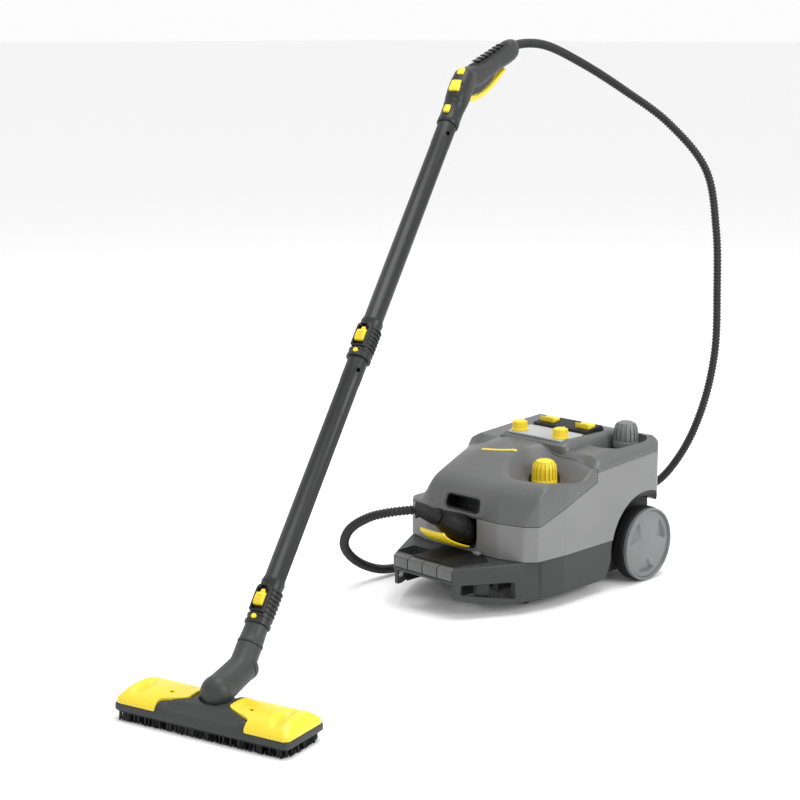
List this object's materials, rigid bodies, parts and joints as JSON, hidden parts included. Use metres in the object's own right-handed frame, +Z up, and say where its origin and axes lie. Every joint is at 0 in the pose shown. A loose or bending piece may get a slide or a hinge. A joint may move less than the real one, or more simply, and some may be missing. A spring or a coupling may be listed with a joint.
{
  "type": "steam cleaner",
  "caption": "Compact canister steam cleaner on wheels with a steam hose, trigger gun, jointed extension tubes and a wide brush floor nozzle.",
  "frame": {"origin": "on the floor, under the middle of the box round the object without its hose and plug", "axes": "+Z up, -Y towards the machine's front and the floor nozzle, +X towards the machine's left side"},
  "size_m": [0.5691, 1.5193, 0.9369],
  "materials": {
    "shell_grey": "fine moulded grain, satin",
    "hood_grey": "fine moulded grain, satin",
    "panel_grey": "satin moulded plastic",
    "charcoal": "dark moulded plastic with a soft sheen",
    "black_plastic": "matt black moulding",
    "signal_yellow": "semi-gloss moulded plastic",
    "disc_grey": "satin moulded plastic",
    "tyre_rubber": "ribbed soft rubber",
    "hose_rubber": "corrugated rubberised hose",
    "bristle": "black nylon bristle tufts",
    "steel": "plain steel",
    "brass": "machined brass",
    "tank_white": "translucent white blow moulding",
    "board_green": "printed circuit board"
  },
  "bodies": {
    "machine": {"base_pan": "charcoal", "axle": "steel", "side_shell": "shell_grey", "front_hood": "hood_grey", "handle_liner": "black_plastic", "console": "panel_grey", "switch_bezel": "black_plastic", "control_board": "board_green", "boiler": "steel", "boiler_neck": "brass", "heating_element": "steel", "water_tank": "tank_white", "feed_pump": "black_plastic", "steam_valve": "brass", "steam_pipe": "steel", "feed_pipe": "tank_white", "cable_gland": "black_plastic", "steam_socket": "black_plastic", "steam_plug": "black_plastic", "plug_boot": "black_plastic", "flap_pin": "steel", "steam_hose": "hose_rubber", "lower_tube": "charcoal", "upper_tube": "charcoal", "low_collar": "charcoal", "mid_collar": "charcoal", "gun_collar": "charcoal", "gun_shell": "charcoal", "grip_pad": "black_plastic", "trigger_pin": "steel", "nozzle_neck": "charcoal", "neck_clip": "black_plastic"},
    "wheel_left": {"wheel_disc_left": "disc_grey", "tyre_left": "tyre_rubber"},
    "wheel_right": {"wheel_disc_right": "disc_grey", "tyre_right": "tyre_rubber"},
    "caster_left": {"caster_fork_left": "charcoal"},
    "caster_right": {"caster_fork_right": "charcoal"},
    "caster_wheel_left": {"caster_wheel_left": "tyre_rubber"},
    "caster_wheel_right": {"caster_wheel_right": "tyre_rubber"},
    "heater_switch": {"heater_switch": "signal_yellow"},
    "main_switch": {"main_switch": "signal_yellow"},
    "steam_dial": {"steam_dial": "signal_yellow"},
    "dosing_dial": {"dosing_dial": "signal_yellow"},
    "safety_cap": {"safety_cap": "signal_yellow"},
    "tank_cap": {"tank_cap": "panel_grey"},
    "socket_flap": {"socket_flap": "signal_yellow"},
    "low_latch": {"low_latch": "signal_yellow"},
    "mid_latch": {"mid_latch": "signal_yellow"},
    "low_pin": {"low_pin": "signal_yellow"},
    "mid_pin": {"mid_pin": "signal_yellow"},
    "trigger": {"gun_trigger": "signal_yellow"},
    "steam_button": {"steam_button": "signal_yellow"},
    "lock_button": {"lock_button": "signal_yellow"},
    "gun_release": {"gun_release": "signal_yellow"},
    "elbow": {"swivel_elbow": "charcoal"},
    "nozzle": {"nozzle_body": "charcoal", "brush_strip": "bristle"},
    "clamp_left": {"cloth_clamp_left": "signal_yellow"},
    "clamp_right": {"cloth_clamp_right": "signal_yellow"}
  },
  "joints": [
    {"name": "wheel_left_spin", "type": "hinge", "parent": "machine", "child": "wheel_left", "pos_m": [-0.0669, 0.49335, 0.066], "axis": [1, 0, 0], "continuous": true},
    {"name": "caster_left_swivel", "type": "hinge", "parent": "machine", "child": "caster_left", "pos_m": [0.0171, 0.23135, 0], "axis": [0, 0, 1], "continuous": true},
    {"name": "caster_wheel_left_roll", "type": "hinge", "parent": "caster_left", "child": "caster_wheel_left", "pos_m": [0.0171, 0.24435, 0.017], "axis": [1, 0, 0], "continuous": true},
    {"name": "wheel_right_spin", "type": "hinge", "parent": "machine", "child": "wheel_right", "pos_m": [-0.0669, 0.49335, 0.066], "axis": [1, 0, 0], "continuous": true},
    {"name": "caster_right_swivel", "type": "hinge", "parent": "machine", "child": "caster_right", "pos_m": [-0.1509, 0.23135, 0], "axis": [0, 0, 1], "continuous": true},
    {"name": "caster_wheel_right_roll", "type": "hinge", "parent": "caster_right", "child": "caster_wheel_right", "pos_m": [-0.1509, 0.24435, 0.017], "axis": [1, 0, 0], "continuous": true},
    {"name": "heater_switch_rock", "type": "hinge", "parent": "machine", "child": "heater_switch", "pos_m": [-0.0269, 0.45735, 0.266], "axis": [1, 0, 0], "range_deg": [0, 12]},
    {"name": "main_switch_rock", "type": "hinge", "parent": "machine", "child": "main_switch", "pos_m": [-0.1069, 0.45735, 0.266], "axis": [1, 0, 0], "range_deg": [0, 12]},
    {"name": "steam_dial_turn", "type": "hinge", "parent": "machine", "child": "steam_dial", "pos_m": [-0.0209, 0.38135, 0.2575], "axis": [0, 0, 1], "range_deg": [0, 270]},
    {"name": "dosing_dial_turn", "type": "hinge", "parent": "machine", "child": "dosing_dial", "pos_m": [-0.1129, 0.38135, 0.2575], "axis": [0, 0, 1], "range_deg": [0, 270]},
    {"name": "safety_cap_turn", "type": "hinge", "parent": "machine", "child": "safety_cap", "pos_m": [0.0031, 0.31135, 0.19], "axis": [0, 0, 1], "range_deg": [0, 450]},
    {"name": "tank_cap_turn", "type": "hinge", "parent": "machine", "child": "tank_cap", "pos_m": [0.0331, 0.49635, 0.232], "axis": [0, 0, 1], "range_deg": [0, 135]},
    {"name": "socket_flap_swing", "type": "hinge", "parent": "machine", "child": "socket_flap", "pos_m": [-0.0669, 0.18335, 0.0953], "axis": [1, 0, 0], "range_deg": [0, 18], "stiffness_Nm_per_rad": 0.02, "springref_deg": -34.38},
    {"name": "low_latch_slide", "type": "slide", "parent": "machine", "child": "low_latch", "axis": [-0.2096, 0.649, 0.7314], "range_m": [-0.005, 0.005]},
    {"name": "low_pin_press", "type": "slide", "parent": "machine", "child": "low_pin", "axis": [-0.2248, 0.696, -0.682], "range_m": [0, 0.0025], "stiffness_N_per_m": 300, "springref_m": -0.003},
    {"name": "mid_latch_slide", "type": "slide", "parent": "machine", "child": "mid_latch", "axis": [-0.2096, 0.649, 0.7314], "range_m": [-0.005, 0.005]},
    {"name": "mid_pin_press", "type": "slide", "parent": "machine", "child": "mid_pin", "axis": [-0.2248, 0.696, -0.682], "range_m": [0, 0.0025], "stiffness_N_per_m": 300, "springref_m": -0.003},
    {"name": "trigger_squeeze", "type": "hinge", "parent": "machine", "child": "trigger", "pos_m": [-0.16751, 0.3053, 0.86123], "axis": [0.9516, 0.3074, 0], "range_deg": [0, 7.5], "stiffness_Nm_per_rad": 0.4, "springref_deg": -17.19},
    {"name": "steam_button_press", "type": "slide", "parent": "machine", "child": "steam_button", "axis": [-0.2248, 0.696, -0.682], "range_m": [0, 0.0032], "stiffness_N_per_m": 400, "springref_m": -0.003},
    {"name": "lock_button_press", "type": "slide", "parent": "machine", "child": "lock_button", "axis": [-0.2248, 0.696, -0.682], "range_m": [0, 0.0022], "stiffness_N_per_m": 400, "springref_m": -0.003},
    {"name": "gun_release_press", "type": "slide", "parent": "machine", "child": "gun_release", "axis": [-0.2248, 0.696, -0.682], "range_m": [0, 0.0018], "stiffness_N_per_m": 400, "springref_m": -0.003},
    {"name": "elbow_turn", "type": "hinge", "parent": "machine", "child": "elbow", "pos_m": [0.06262, -0.4072, 0.09157], "axis": [-0.2096, 0.649, 0.7314], "range_deg": [-60, 60]},
    {"name": "nozzle_tilt", "type": "hinge", "parent": "elbow", "child": "nozzle", "pos_m": [0.0831, -0.48165, 0.055], "axis": [0.972, 0.2351, 0], "range_deg": [-60, 18]},
    {"name": "clamp_left_lift", "type": "hinge", "parent": "nozzle", "child": "clamp_left", "pos_m": [0.12975, -0.47036, 0.047], "axis": [0.2351, -0.972, 0], "range_deg": [0, 25], "stiffness_Nm_per_rad": 0.6, "springref_deg": -11.46},
    {"name": "clamp_right_lift", "type": "hinge", "parent": "nozzle", "child": "clamp_right", "pos_m": [0.03645, -0.49294, 0.047], "axis": [-0.2351, 0.972, 0], "range_deg": [0, 25], "stiffness_Nm_per_rad": 0.6, "springref_deg": -11.46}
  ]
}
